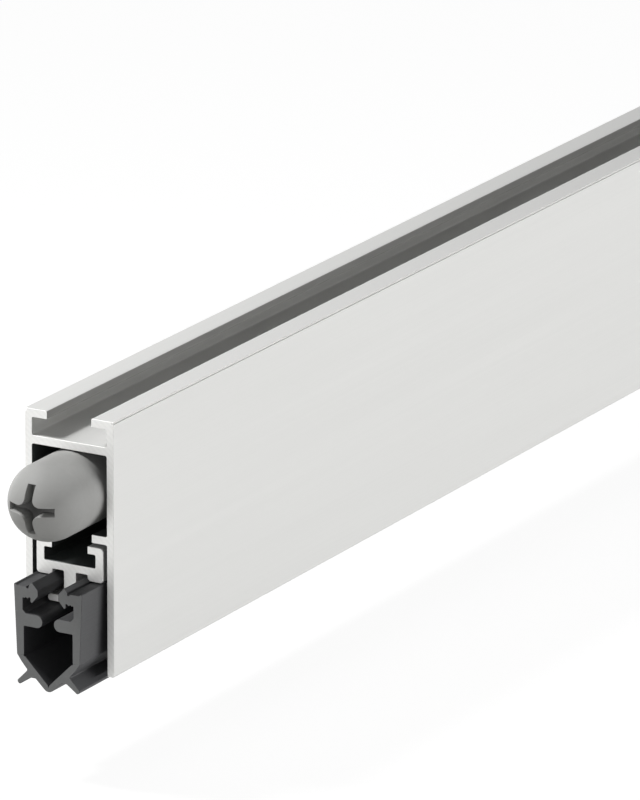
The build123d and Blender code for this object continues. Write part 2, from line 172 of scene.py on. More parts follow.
# Housing: one extrusion of aluminium alloy with a T-slot for its bracket on top, a closed-in chamber for the
# mechanism and an open foot. It is sawn to length, lightly deburred and satin anodised.
def rounded(corners, steps=4):
    """Closed outline whose corners are arcs. A row is x, z and radius. An arc starts and ends radius / tan(half the
    corner's angle) from the corner. Its points are the centre plus both end radii, weighted by the sines of the angle
    still to turn and of the angle turned, over the sine of the whole turn."""
    p, r = corners[:, :2], corners[:, 2:]
    back = np.roll(p, 1, 0) - p
    ahead = np.roll(p, -1, 0) - p
    back /= np.linalg.norm(back, axis=1, keepdims=True)
    ahead /= np.linalg.norm(ahead, axis=1, keepdims=True)
    half = 0.5 * np.arccos(np.clip((back * ahead).sum(1, keepdims=True), -1, 1))
    middle = (back + ahead) / np.linalg.norm(back + ahead, axis=1, keepdims=True)
    centre = p + middle * r / np.sin(half)
    start, end = p + back * r / np.tan(half) - centre, p + ahead * r / np.tan(half) - centre
    sweep = (np.pi - 2 * half)[:, None]
    t = np.linspace(0, 1, steps + 1)[None, :, None]
    arc = (np.sin((1 - t) * sweep) * start[:, None] + np.sin(t * sweep) * end[:, None]) / np.sin(sweep)
    return (centre[:, None] + arc).reshape(-1, 2)


def both_sides(right):
    """Whole symmetric section from its right half, which runs up the outside: the half, then its mirror image in
    reverse, without the corners on the middle line."""
    right = np.array(right, float)
    return np.vstack([right, (right * (-1, 1, 1))[right[:, 0] > 0][::-1]])


def extruded(name, outline, start, end, burr, side, cut):
    """Outline carried along Y from start to end. Its first and last rings lie the burr's size inside the outline,
    along the mean of each point's two side normals, so that the sawn ends have a small chamfer."""
    ahead = np.roll(outline, -1, 0) - outline
    ahead /= np.linalg.norm(ahead, axis=1, keepdims=True)
    outward = np.stack([ahead[:, 1], -ahead[:, 0]], 1)
    outward = outward + np.roll(outward, 1, 0)
    outward *= 2 / (outward ** 2).sum(1, keepdims=True)
    inner = outline - burr * outward
    rings = [(start, inner), (start + burr, outline), (end - burr, outline), (end, inner)]
    n = len(outline)
    points = np.vstack([np.column_stack([ring[:, 0], np.full(n, y), ring[:, 1]]) for y, ring in rings]) * MM
    i = np.arange(n)
    k = np.arange(len(rings) - 1)[:, None] * n
    quads = np.stack([k + i, k + n + i, k + n + (i + 1) % n, k + (i + 1) % n], -1).reshape(-1, 4)
    caps = [list(range(n)), list(range(len(points) - 1, len(points) - 1 - n, -1))]
    mesh = bpy.data.meshes.new(name)
    mesh.from_pydata(points.tolist(), [], quads.tolist() + caps)
    mesh.materials.append(side)
    mesh.materials.append(cut)
    mesh.polygons.foreach_set("material_index", np.r_[np.zeros(len(quads), int), 1, 1].astype(np.int32))
    piece = bpy.data.objects.new(name, mesh)
    bpy.context.scene.collection.objects.link(piece)
    return piece


def smoothed(piece, angle=28.0):
    """Smooth shading across edges that turn less than the angle, with the large faces kept flat."""
    piece.data.polygons.foreach_set("use_smooth", np.ones(len(piece.data.polygons), bool))
    piece.data.set_sharp_from_angle(angle=np.radians(angle))
    weigh = piece.modifiers.new("flat_faces", "WEIGHTED_NORMAL")
    weigh.keep_sharp = True
    return piece


def finish_of(name, evenly):
    """New material with one shader, and its tree and shader to work on. Evenly holds the shader's values that are the
    same all over."""
    material = bpy.data.materials.new(name)
    material.use_nodes = True
    tree = material.node_tree
    tree.nodes.clear()
    shader = add(tree, "ShaderNodeBsdfPrincipled", evenly)
    add(tree, "ShaderNodeOutputMaterial", {"Surface": shader.outputs[0]})
    return material, tree, shader


# Satin anodised aluminium, extruded: pale and even, with die lines along its length. They are 0.05 mm apart on the
# real one and are drawn 0.2 mm apart so that they show.
anodised_aluminium, tree, shader = finish_of("anodised_aluminium", {"Metallic": 0.2})
where = add(tree, "ShaderNodeTexCoord")
along = add(tree, "ShaderNodeMapping", {"Vector": where.outputs["Object"], "Scale": (5 / MM, 0.012 / MM, 5 / MM)})
lines = add(tree, "ShaderNodeTexNoise", {"Vector": along.outputs[0], "Scale": 1.0, "Detail": 3.0, "Roughness": 0.6})
tint = add(tree, "ShaderNodeMix", {"Factor": lines.outputs[0], "A": linear("#E0E0DE"), "B": linear("#E6E6E4")},
           data_type="RGBA")
tree.links.new(tint.outputs[2], shader.inputs["Base Color"])
matt = add(tree, "ShaderNodeMapRange",
           {"Value": lines.outputs[0], "From Min": 0.3, "From Max": 0.7, "To Min": 0.38, "To Max": 0.48})
tree.links.new(matt.outputs[0], shader.inputs["Roughness"])
relief = add(tree, "ShaderNodeBump", {"Height": lines.outputs[0], "Strength": 0.1, "Distance": 0.05 * MM})
tree.links.new(relief.outputs[0], shader.inputs["Normal"])

# The same alloy where a saw has cut it: brighter and more metallic, with the blade's shallow arcs. A fine blade
# leaves them 0.1 mm apart, and they are drawn 0.6 mm apart. The wave repeats every 0.314 of its own units.
sawn_aluminium, tree, shader = finish_of("sawn_aluminium", {"Metallic": 0.6, "Roughness": 0.5})
where = add(tree, "ShaderNodeTexCoord")
blade = add(tree, "ShaderNodeMapping", {"Vector": where.outputs["Object"], "Location": (90 * MM, 0, 110 * MM)})
arcs = add(tree, "ShaderNodeTexWave",
           {"Vector": blade.outputs[0], "Scale": 0.52 / MM, "Distortion": 0.6, "Detail": 2.0},
           wave_type="RINGS", rings_direction="Y")
tint = add(tree, "ShaderNodeMix", {"Factor": arcs.outputs[1], "A": linear("#E4E4E2"), "B": linear("#E8E8E6")},
           data_type="RGBA")
tree.links.new(tint.outputs[2], shader.inputs["Base Color"])
relief = add(tree, "ShaderNodeBump", {"Height": arcs.outputs[1], "Strength": 0.02, "Distance": 0.05 * MM})
tree.links.new(relief.outputs[0], shader.inputs["Normal"])

# Inside the chamber and the foot the alloy is painted dark grey: painted shade for the little light that reaches in
# there, uneven in patches about 3 mm across. The drop bar's channel takes it too.
painted_shade_aluminium, tree, shader = finish_of("painted_shade_aluminium", {"Metallic": 0.5})
where = add(tree, "ShaderNodeTexCoord")
film = add(tree, "ShaderNodeTexNoise", {"Vector": where.outputs["Object"], "Scale": 0.3 / MM, "Detail": 4.0})
tint = add(tree, "ShaderNodeMix", {"Factor": film.outputs[0], "A": linear("#464A49"), "B": linear("#565A59")},
           data_type="RGBA")
tree.links.new(tint.outputs[2], shader.inputs["Base Color"])
matt = add(tree, "ShaderNodeMapRange",
           {"Value": film.outputs[0], "From Min": 0.3, "From Max": 0.7, "To Min": 0.4, "To Max": 0.6})
tree.links.new(matt.outputs[0], shader.inputs["Roughness"])

# The inner edges and undersides of the T-slot's lips are painted greyer: painted shade inside the slot. Their die lines
# are drawn as those of the outside are.
slot_painted_shade_aluminium, tree, shader = finish_of("slot_painted_shade_aluminium", {"Metallic": 0.2, "Roughness": 0.5})
where = add(tree, "ShaderNodeTexCoord")
along = add(tree, "ShaderNodeMapping", {"Vector": where.outputs["Object"], "Scale": (5 / MM, 0.012 / MM, 5 / MM)})
lines = add(tree, "ShaderNodeTexNoise", {"Vector": along.outputs[0], "Scale": 1.0, "Detail": 3.0})
tint = add(tree, "ShaderNodeMix", {"Factor": lines.outputs[0], "A": linear("#AEAEAC"), "B": linear("#B6B6B4")},
           data_type="RGBA")
tree.links.new(tint.outputs[2], shader.inputs["Base Color"])

length = (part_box("housing_profile")[1].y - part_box("housing_profile")[0].y) / MM
axis_height = -9.975
housing_right = [
    (5.5, -4.6, 0.25),
    (5.5, -15.35, 0.25),
    (3.25, -15.35, 0.15),
    (3.25, -16.45, 0.15),
    (5.5, -16.45, 0.25),
    (5.5, -34.0, 0.12),
    (6.5, -34.0, 0.2),
    (6.5, -0.34, 0.04),
    (6.28, -0.34, 0.04),
    (6.28, -0.08, 0.04),
    (6.5, -0.08, 0.035),
    (6.5, 0.0, 0.035),
    (3.25, 0.0, 0.15),
    (3.25, -1.1, 0.15),
    (5.5, -1.1, 0.25),
    (5.5, -3.5, 0.25),
]
housing = extruded("housing_shell", rounded(both_sides(housing_right)), start=0.0, end=length, burr=0.03,
                   side=anodised_aluminium, cut=sawn_aluminium)


def lined(piece, inner, outer, top, bottom, material):
    """Gives the long faces whose middles lie between two distances from the middle plane, and between two heights,
    another finish."""
    piece.data.materials.append(material)
    middles = np.zeros(3 * len(piece.data.polygons))
    piece.data.polygons.foreach_get("center", middles)
    x, _, z = middles.reshape(-1, 3).T / MM
    finish = np.zeros(len(x), np.int32)
    piece.data.polygons.foreach_get("material_index", finish)
    within = (np.abs(x) >= inner) & (np.abs(x) < outer) & (z < top) & (z > bottom)
    finish[(finish == 0) & within] = len(piece.data.materials) - 1
    piece.data.polygons.foreach_set("material_index", finish)


# Painted shade: the chamber's and foot's inner faces take the dark painted-shade material.
lined(housing, inner=0.0, outer=5.6, top=-4.5, bottom=-33.5, material=painted_shade_aluminium)
# Painted shade: the T-slot lips' inner edges and undersides take the greyer painted-shade material.
lined(housing, inner=3.2, outer=5.6, top=-0.05, bottom=-1.3, material=slot_painted_shade_aluminium)


def turned(name, profile, centres, axis, around, material):
    """Copies of a profile turned about an axis, one at each centre. A row is a place along the axis and a radius, and
    the point at angle a is the centre plus the place along the axis plus the radius times (cos a, sin a) across it."""
    axis = np.array(axis, float)
    side = np.cross(axis, (0, 1, 0) if axis[1] == 0 else (0, 0, 1))
    lift = np.cross(side, axis)
    profile = np.array(profile, float)
    a = np.linspace(0, 2 * np.pi, around, endpoint=False)
    ring = np.cos(a)[:, None] * side + np.sin(a)[:, None] * lift
    copy = profile[:, None, :1] * axis + profile[:, None, 1:] * ring
    return gridded(name, np.array(centres, float)[:, None, None] + copy, material)


def gridded(name, grids, material):
    """One piece from grids of points. Each closes on itself across its rows, and doubles at poles and seams merge."""
    c, m, n = grids.shape[:3]
    i = np.arange(n)
    k = (np.arange(c)[:, None] * m * n + np.arange(m - 1) * n)[..., None]
    quads = np.stack([k + i, k + (i + 1) % n, k + n + (i + 1) % n, k + n + i], -1).reshape(-1, 4)
    mesh = bpy.data.meshes.new(name)
    mesh.from_pydata((grids.reshape(-1, 3) * MM).tolist(), [], quads.tolist())
    work = bmesh.new()
    work.from_mesh(mesh)
    bmesh.ops.remove_doubles(work, verts=work.verts, dist=1e-7)
    bmesh.ops.recalc_face_normals(work, faces=work.faces)
    work.to_mesh(mesh)
    work.free()
    mesh.materials.append(material)
    piece = bpy.data.objects.new(name, mesh)
    bpy.context.scene.collection.objects.link(piece)
    return piece


# The left wall is countersunk for the three fixing screws. A row is the depth below the wall's face and the radius.
outer_face = -6.5
screw_places = (19.12, 142.0, 289.0)
countersink = [(-0.5, 0), (-0.5, 2.8), (0.0, 2.2), (1.0, 1.25), (1.6, 1.25), (1.6, 0)]
for number, place in enumerate(screw_places, 1):
    sink = turned(f"countersink_{number}", countersink, [(outer_face, place, axis_height)], axis=(1, 0, 0), around=48,
                  material=sawn_aluminium)
    hole = housing.modifiers.new(f"hole_{number}", "BOOLEAN")
    hole.object = sink
    hole.solver = "EXACT"
    hole.material_mode = "TRANSFER"
bpy.context.view_layer.update()
drilled = bpy.data.meshes.new_from_object(housing.evaluated_get(bpy.context.evaluated_depsgraph_get()))
housing.modifiers.clear()
housing.data = drilled
for number in range(len(screw_places)):
    bpy.data.objects.remove(bpy.data.objects[f"countersink_{number + 1}"])
smoothed(housing)
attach(housing, "housing")
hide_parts("housing_profile")


# Push rod: a 4 mm bar of zinc-plated steel. Its nose has a rolled M4 thread, on which the knob turns, and a groove
# behind the guide takes the retaining ring. It joins both sliders to the knob.

# Bright zinc plate on drawn bar: cool, with fine lines along the bar, drawn 0.17 mm apart, and a faintly cloudy gloss
# in patches of 4 mm.
zinc_plate, tree, shader = finish_of("zinc_plate", {"Metallic": 1.0})
where = add(tree, "ShaderNodeTexCoord")
along = add(tree, "ShaderNodeMapping", {"Vector": where.outputs["Object"], "Scale": (6 / MM, 0.06 / MM, 6 / MM)})
lines = add(tree, "ShaderNodeTexNoise", {"Vector": along.outputs[0], "Scale": 1.0, "Detail": 2.0})
cloud = add(tree, "ShaderNodeTexNoise", {"Vector": where.outputs["Object"], "Scale": 0.25 / MM, "Detail": 3.0})
tint = add(tree, "ShaderNodeMix", {"Factor": cloud.outputs[0], "A": linear("#B9BDC3"), "B": linear("#CDCFD0")},
           data_type="RGBA")
tree.links.new(tint.outputs[2], shader.inputs["Base Color"])
matt = add(tree, "ShaderNodeMapRange",
           {"Value": cloud.outputs[0], "From Min": 0.3, "From Max": 0.7, "To Min": 0.22, "To Max": 0.38})
tree.links.new(matt.outputs[0], shader.inputs["Roughness"])
relief = add(tree, "ShaderNodeBump", {"Height": lines.outputs[0], "Strength": 0.15, "Distance": 0.03 * MM})
tree.links.new(relief.outputs[0], shader.inputs["Normal"])


def thread_depth(turns):
    """How deep a rolled thread is cut after a number of turns, from 0 on its crest to 1 at its root. It is a triangle
    wave with its peaks cut off, so that the crest is an eighth of a turn wide and the root a quarter."""
    wave = np.abs(2 * (turns % 1) - 1)
    return 1 - np.clip((wave - 0.25) / 0.625, 0, 1)


rod_start, rod_end, rod_radius = 0.5, 199.0, 2.0
thread_end, thread_pitch, thread_root = 7.0, 0.7, 0.43
groove_start, groove_end, groove_radius = 25.2, 25.84, 1.6
chamfer = 0.4
y = np.r_[rod_start, np.linspace(rod_start, thread_end, 118), groove_start, groove_start, groove_end, groove_end,
          rod_end - chamfer, rod_end, rod_end]
radius = np.full(len(y), rod_radius)
radius[0] = radius[-1] = 0
radius[-2] = rod_radius - chamfer
radius[-6:-4] = groove_radius
a = np.linspace(0, 2 * np.pi, 72, endpoint=False)
fade = np.clip((thread_end - y) / thread_pitch, 0, 1)
cut = thread_root * thread_depth(y[:, None] / thread_pitch - a / (2 * np.pi)) * fade[:, None]
radius = np.minimum(np.maximum(radius[:, None] - cut, 0), np.maximum(rod_radius - chamfer + y - rod_start, 0)[:, None])
radius[0] = 0
points = np.stack(
    [radius * np.cos(a), np.broadcast_to(y[:, None], radius.shape), radius * np.sin(a) + axis_height], -1)
rod = gridded("push_rod_bar", points[None], zinc_plate)
smoothed(rod, 50)
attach(rod, "rod")
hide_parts("push_rod")


# Threaded insert: a bush turned from brass bar, tapped M4 and knurled. It is pressed into the knob's bore, so that the
# knob turns on the rod's thread.

# Turned brass: warm yellow, with a soft gloss and the rings that the tool's feed leaves, drawn 0.2 mm apart.
turned_brass, tree, shader = finish_of("turned_brass", {"Metallic": 1.0, "Roughness": 0.3})
where = add(tree, "ShaderNodeTexCoord")
rings = add(tree, "ShaderNodeTexWave",
            {"Vector": where.outputs["Object"], "Scale": 1.6 / MM, "Distortion": 0.4, "Detail": 1.0},
            wave_type="BANDS", bands_direction="Y")
tint = add(tree, "ShaderNodeMix", {"Factor": rings.outputs[1], "A": linear("#C09C52"), "B": linear("#D2B26C")},
           data_type="RGBA")
tree.links.new(tint.outputs[2], shader.inputs["Base Color"])
relief = add(tree, "ShaderNodeBump", {"Height": rings.outputs[1], "Strength": 0.1, "Distance": 0.03 * MM})
tree.links.new(relief.outputs[0], shader.inputs["Normal"])

# The knurl's teeth are a triangle wave around the bush. A row is y, radius and the knurl's share.
rows = np.array([
    (0.0, 2.05, 0),
    (0.0, 2.7, 0),
    (0.3, 3.0, 1),
    (5.7, 3.0, 1),
    (6.0, 2.7, 0),
    (6.0, 2.05, 0),
    (0.0, 2.05, 0),
])
teeth, tooth_depth = 40, 0.1
a = np.linspace(0, 2 * np.pi, 6 * teeth, endpoint=False)
knurl = tooth_depth * np.abs(2 * (teeth * a / (2 * np.pi) % 1) - 1)
radius = rows[:, 1:2] - rows[:, 2:] * knurl
points = np.stack(
    [radius * np.cos(a), np.broadcast_to(rows[:, :1], radius.shape), radius * np.sin(a) + axis_height], -1)
bush = gridded("threaded_bush", points[None], turned_brass)
smoothed(bush, 20)
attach(bush, "knob")
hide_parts("threaded_insert")


# Plunger knob: a bullet of grey nylon, moulded and pressed on its brass bush. The door frame pushes its domed nose,
# and a screwdriver in its cross slot turns it on the rod to set the drop.

# Moulded nylon, filled grey: matt and even, with the spark-eroded grain of its mould, which is 0.05 mm and is drawn 0.7
# mm across. The slot's arms are painted darker and its middle nearly black: painted shade in the recess.
moulded_nylon, tree, shader = finish_of("moulded_nylon", {"Metallic": 0.0, "Roughness": 0.68})
where = add(tree, "ShaderNodeTexCoord")
grain = add(tree, "ShaderNodeTexNoise", {"Vector": where.outputs["Object"], "Scale": 1.5 / MM, "Detail": 3.0})
tint = add(tree, "ShaderNodeMix", {"Factor": grain.outputs[0], "A": linear("#A4A4A2"), "B": linear("#AAAAA8")},
           data_type="RGBA")
# Painted shade: this attribute mixes the slot's darkening into the base colour.
slot_shade_attribute = add(tree, "ShaderNodeAttribute", attribute_name="slot_painted_shade")
tint = add(tree, "ShaderNodeMix", {"Factor": slot_shade_attribute.outputs["Fac"], "A": tint.outputs[2], "B": linear("#1C1C1B")},
           data_type="RGBA")
tree.links.new(tint.outputs[2], shader.inputs["Base Color"])
relief = add(tree, "ShaderNodeBump", {"Height": grain.outputs[0], "Strength": 0.12, "Distance": 0.1 * MM})
tree.links.new(relief.outputs[0], shader.inputs["Normal"])


def cross_slot(u, v, half_width, reach, lobe, soft):
    """How far a cross slot has gone down at a point, from 0 outside to 1 inside. Each quarter between its arms is a
    square with a rounded corner. Its distance is the length of the part of (corner centre - point) above zero, or the
    larger of the two differences where both are below, less the radius. The slot's own distance is the larger of minus
    that and how far the point lies past the reach, and its wall is a smooth step."""
    du, dv = half_width + lobe - np.abs(u), half_width + lobe - np.abs(v)
    quarter = np.hypot(np.maximum(du, 0), np.maximum(dv, 0)) + np.minimum(np.maximum(du, dv), 0) - lobe
    inside = np.maximum(-quarter, np.maximum(np.abs(u), np.abs(v)) - reach)
    step = np.clip((0.56 * soft - inside) / soft, 0, 1)
    return step * step * (3 - 2 * step)


# The dome is part of a ball, with its rings closer together until past the slot. A row of the rear is y and radius.
knob_radius, knob_straight, knob_tail, knob_edge, slot_floor = 5.2, 5.05, 6.0, 0.3, 8.1
bore_radius, bore_depth = 3.02, 6.02
cross = {"half_width": 0.45, "reach": 3.17, "lobe": 1.15, "soft": 0.24}
past_slot = 3.6
radius = np.r_[np.linspace(0, past_slot, 84), np.linspace(past_slot, knob_radius, 24)[1:]]
dome = -knob_straight - np.sqrt(np.maximum(knob_radius ** 2 - radius ** 2, 0))
rear = [
    (knob_tail - knob_edge, knob_radius),
    (knob_tail, knob_radius - knob_edge),
    (knob_tail, bore_radius),
    (knob_tail - bore_depth, bore_radius),
    (knob_tail - bore_depth, 0.0),
]
profile = np.vstack([np.column_stack([dome, radius]), rear])
a = np.linspace(0, 2 * np.pi, 420, endpoint=False)
x, z = profile[:, 1:] * np.cos(a), profile[:, 1:] * np.sin(a)
y = np.repeat(profile[:, :1], len(a), 1)
on_dome = (np.arange(len(profile)) < len(radius))[:, None]
sunk = cross_slot(x, z, **cross)
y = np.where(on_dome & (y < -slot_floor), y + sunk * (-slot_floor - y), y)
knob = gridded("knob", np.stack([x, y, z + axis_height], -1)[None], moulded_nylon)
places = np.zeros(3 * len(knob.data.vertices))
knob.data.vertices.foreach_get("co", places)
x, y, z = places.reshape(-1, 3).T / MM
# Painted shade in the cross slot: its arms darker, its middle nearly black.
sunk = cross_slot(x, z - axis_height, **cross) * (y < -slot_floor + 0.01)
arms_painted_shade, middle_spread = 0.72, 1.6
middle = np.exp(-(x ** 2 + (z - axis_height) ** 2) / middle_spread ** 2)
slot_painted_shade = sunk ** 2 * (arms_painted_shade + (1 - arms_painted_shade) * middle)
knob.data.attributes.new("slot_painted_shade", "FLOAT", "POINT").data.foreach_set("value", slot_painted_shade.astype(np.float32))
smoothed(knob, 50)
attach(knob, "knob")
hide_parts("plunger_knob")


# Guide block: a block moulded in black acetal, keyed between the housing's ribs and held by a screw from the left. The
# push rod runs in its bore.

# Moulded acetal: nearly black and slightly waxy. The spark-eroded grain of its mould is 0.05 mm, drawn 0.45 mm across.
moulded_acetal, tree, shader = finish_of("moulded_acetal", {"Metallic": 0.0})
where = add(tree, "ShaderNodeTexCoord")
grain = add(tree, "ShaderNodeTexNoise", {"Vector": where.outputs["Object"], "Scale": 2.2 / MM, "Detail": 3.0})
tint = add(tree, "ShaderNodeMix", {"Factor": grain.outputs[0], "A": linear("#232426"), "B": linear("#2F3032")},
           data_type="RGBA")
tree.links.new(tint.outputs[2], shader.inputs["Base Color"])
matt = add(tree, "ShaderNodeMapRange",
           {"Value": grain.outputs[0], "From Min": 0.3, "From Max": 0.7, "To Min": 0.36, "To Max": 0.48})
tree.links.new(matt.outputs[0], shader.inputs["Roughness"])
relief = add(tree, "ShaderNodeBump", {"Height": grain.outputs[0], "Strength": 0.12, "Distance": 0.05 * MM})
tree.links.new(relief.outputs[0], shader.inputs["Normal"])


def finished(names, material):
    """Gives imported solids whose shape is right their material."""
    for name in names:
        solid = frame["nodes"][name]
        if not solid.material_slots:
            solid.data.materials.append(material)
        for held in solid.material_slots:
            held.material = material


finished(["guide_block"], moulded_acetal)


# Retaining ring: stamped from spring steel and pressed sideways into the rod's groove, where it stops the rod at the
# guide block.

# Phosphated spring steel: dark grey, dry and slightly mottled, in spots of 0.5 mm.
phosphated_steel, tree, shader = finish_of("phosphated_steel", {"Metallic": 1.0})
where = add(tree, "ShaderNodeTexCoord")
mottle = add(tree, "ShaderNodeTexNoise",
             {"Vector": where.outputs["Object"], "Scale": 1.8 / MM, "Detail": 4.0, "Roughness": 0.65})
tint = add(tree, "ShaderNodeMix", {"Factor": mottle.outputs[0], "A": linear("#3B3C3E"), "B": linear("#5C5D5F")},
           data_type="RGBA")
tree.links.new(tint.outputs[2], shader.inputs["Base Color"])
matt = add(tree, "ShaderNodeMapRange",
           {"Value": mottle.outputs[0], "From Min": 0.3, "From Max": 0.7, "To Min": 0.45, "To Max": 0.7})
tree.links.new(matt.outputs[0], shader.inputs["Roughness"])
finished(["retaining_ring"], phosphated_steel)


# Slider blocks: two acetal blocks on the rod, each pinched there by a hexagon-socket grub screw from above. They carry
# the moving ends of the leaf springs. The grub screws are blackened steel.

# Black oxide on steel: nearly black, thin, with a soft metallic gloss and browner patches of 1 mm.
black_oxide, tree, shader = finish_of("black_oxide", {"Metallic": 1.0})
where = add(tree, "ShaderNodeTexCoord")
patches = add(tree, "ShaderNodeTexNoise", {"Vector": where.outputs["Object"], "Scale": 0.9 / MM, "Detail": 3.0})
tint = add(tree, "ShaderNodeMix", {"Factor": patches.outputs[0], "A": linear("#262627"), "B": linear("#3A3634")},
           data_type="RGBA")
tree.links.new(tint.outputs[2], shader.inputs["Base Color"])
matt = add(tree, "ShaderNodeMapRange",
           {"Value": patches.outputs[0], "From Min": 0.3, "From Max": 0.7, "To Min": 0.32, "To Max": 0.5})
tree.links.new(matt.outputs[0], shader.inputs["Roughness"])
finished(["slider_block_1", "slider_block_2"], moulded_acetal)
finished(["grub_screws"], black_oxide)


# Anchor blocks and spring carriages: acetal too. The anchors are screwed in the chamber and hold the springs' still
# ends, and the carriages slide in the drop bar's channel under the springs' middles.
finished(["anchor_block_1", "anchor_block_2", "spring_carriage_1", "spring_carriage_2"], moulded_acetal)


# Leaf springs: two 36 mm spans each of stainless spring strip, 5 mm by 0.5 mm, slit and with its edges dressed round.
# A push on the slider bows both spans down, and the strip's own spring brings them back.

# Cold-rolled stainless: bright and slightly warm, with rolling lines along the strip, drawn 0.14 mm apart.
rolled_stainless, tree, shader = finish_of("rolled_stainless", {"Metallic": 1.0})
where = add(tree, "ShaderNodeTexCoord")
along = add(tree, "ShaderNodeMapping", {"Vector": where.outputs["Object"], "Scale": (7 / MM, 0.03 / MM, 0.5 / MM)})
lines = add(tree, "ShaderNodeTexNoise", {"Vector": along.outputs[0], "Scale": 1.0, "Detail": 3.0})
tint = add(tree, "ShaderNodeMix", {"Factor": lines.outputs[0], "A": linear("#A9A9A6"), "B": linear("#BFBFBC")},
           data_type="RGBA")
tree.links.new(tint.outputs[2], shader.inputs["Base Color"])
matt = add(tree, "ShaderNodeMapRange",
           {"Value": lines.outputs[0], "From Min": 0.3, "From Max": 0.7, "To Min": 0.18, "To Max": 0.34})
tree.links.new(matt.outputs[0], shader.inputs["Roughness"])
relief = add(tree, "ShaderNodeBump", {"Height": lines.outputs[0], "Strength": 0.12, "Distance": 0.03 * MM})
tree.links.new(relief.outputs[0], shader.inputs["Normal"])


def strip(name, stations, heights, width, thickness):
    """Flat section with rounded edges, carried along a line in the YZ plane. Between two stations the height goes from
    one value to the next as h0 + (h1 - h0) * t * t * (3 - 2 * t), and the section stands square to the line."""
    edge = 0.4 * thickness
    corners = np.array([(-width / 2, -thickness / 2, edge), (width / 2, -thickness / 2, edge),
                        (width / 2, thickness / 2, edge), (-width / 2, thickness / 2, edge)])
    section = rounded(corners, 3)
    steps = [2 if low == high else 40 for low, high in zip(heights, heights[1:])]
    t = [np.linspace(0, 1, n, endpoint=False) for n in steps]
    y = np.concatenate([s + (e - s) * u for s, e, u in zip(stations, stations[1:], t)] + [stations[-1:]])
    h = np.concatenate([s + (e - s) * u * u * (3 - 2 * u) for s, e, u in zip(heights, heights[1:], t)] + [heights[-1:]])
    slope = np.gradient(h, y)
    lift = np.stack([0 * y, -slope, np.ones(len(y))], 1) / np.hypot(1, slope)[:, None]
    line = np.stack([0 * y, y, h], 1)
    rings = line[:, None] + section[None, :, :1] * (1, 0, 0) + section[None, :, 1:] * lift[:, None]
    ends = [np.broadcast_to(end[None, None], rings[:1].shape) for end in (line[0], line[-1])]
    rings = np.concatenate([ends[0], rings, ends[1]])
    return smoothed(gridded(name, rings[None], rolled_stainless), 40)


# Each spring is three pieces, because its ends move with different bodies: the end under the slider rides on the rod,
# and the two spans run over from the housing to the carriages. The pushed span bends from where the slider stops, and
# its start runs inside the slider's end, which sticks out past the block by a rivet head's radius.
block_length, span, stroke, carriage_inset = 12.0, 36.0, 6.12, 94.0
lead, overlap = 2.3, 0.1
end_height, middle_height = -14.25, -15.25
width, thickness, slack = 5.0, 0.5, 0.04
carriage_centres = (carriage_inset, length - carriage_inset)
for number, centre in enumerate(carriage_centres, 1):
    near, far = centre - block_length / 2, centre + block_length / 2
    slider_end, anchor_start = near - span, far + span
    held = strip(f"leaf_spring_{number}_slider_end", [slider_end - block_length, slider_end + lead],
                 [end_height] * 2, width, thickness)
    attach(held, "rod")
    pushed = strip(f"leaf_spring_{number}_pushed_span", [slider_end + lead - overlap, near, centre],
                   [end_height, middle_height, middle_height], width - slack, thickness - slack)
    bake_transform(pushed)
    fixed = strip(f"leaf_spring_{number}_fixed_span", [centre, far, anchor_start, anchor_start + block_length],
                  [middle_height, middle_height, end_height, end_height], width, thickness)
    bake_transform(fixed)
    for piece in (held, pushed, fixed):
        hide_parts(f"leaf_spring_{number}")


# Rivets: nickel-plated steel with low round heads. They hold the springs' ends up in the slider and anchor blocks,
# and their middles down on the carriages.

# Nickel plate: warm grey, evenly bright, with a slight orange peel of 0.7 mm.
nickel_plate, tree, shader = finish_of("nickel_plate", {"Metallic": 1.0, "Roughness": 0.24})
where = add(tree, "ShaderNodeTexCoord")
peel = add(tree, "ShaderNodeTexNoise", {"Vector": where.outputs["Object"], "Scale": 1.5 / MM, "Detail": 2.0})
tint = add(tree, "ShaderNodeMix", {"Factor": peel.outputs[0], "A": linear("#B2AEA4"), "B": linear("#C2BEB4")},
           data_type="RGBA")
tree.links.new(tint.outputs[2], shader.inputs["Base Color"])
relief = add(tree, "ShaderNodeBump", {"Height": peel.outputs[0], "Strength": 0.08, "Distance": 0.05 * MM})
tree.links.new(relief.outputs[0], shader.inputs["Normal"])

# A head is a quarter of an ellipse on a short straight rim.
rim_height, dome_height, head_radius = 0.12, 0.48, 1.9
shank_radius, chamfer = 1.0, 0.15
t = np.linspace(0, np.pi / 2, 10)
head = np.column_stack([rim_height + dome_height * np.sin(t), head_radius * np.cos(t)])
slider_middles = [centre - block_length - span for centre in carriage_centres]
anchor_middles = [centre + block_length + span for centre in carriage_centres]
for name, middles, shank, seat, way, body in (
    ("slider_rivets", slider_middles, 2.0, -14.5, -1, "rod"),
    ("anchor_rivets", anchor_middles, 2.0, -14.5, -1, "housing"),
    ("carriage_rivets", carriage_centres, 4.6, -15.0, 1, "carriages"),
):
    rows = [(-shank, 0), (-shank, shank_radius - chamfer), (chamfer - shank, shank_radius), (0, shank_radius)]
    profile = np.vstack([rows, [(0, head_radius)], head])
    rivets = turned(f"{name}_domed", profile, [(0, middle, seat) for middle in middles], (0, 0, way), 40, nickel_plate)
    smoothed(rivets, 35)
    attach(rivets, body)
    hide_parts(name)


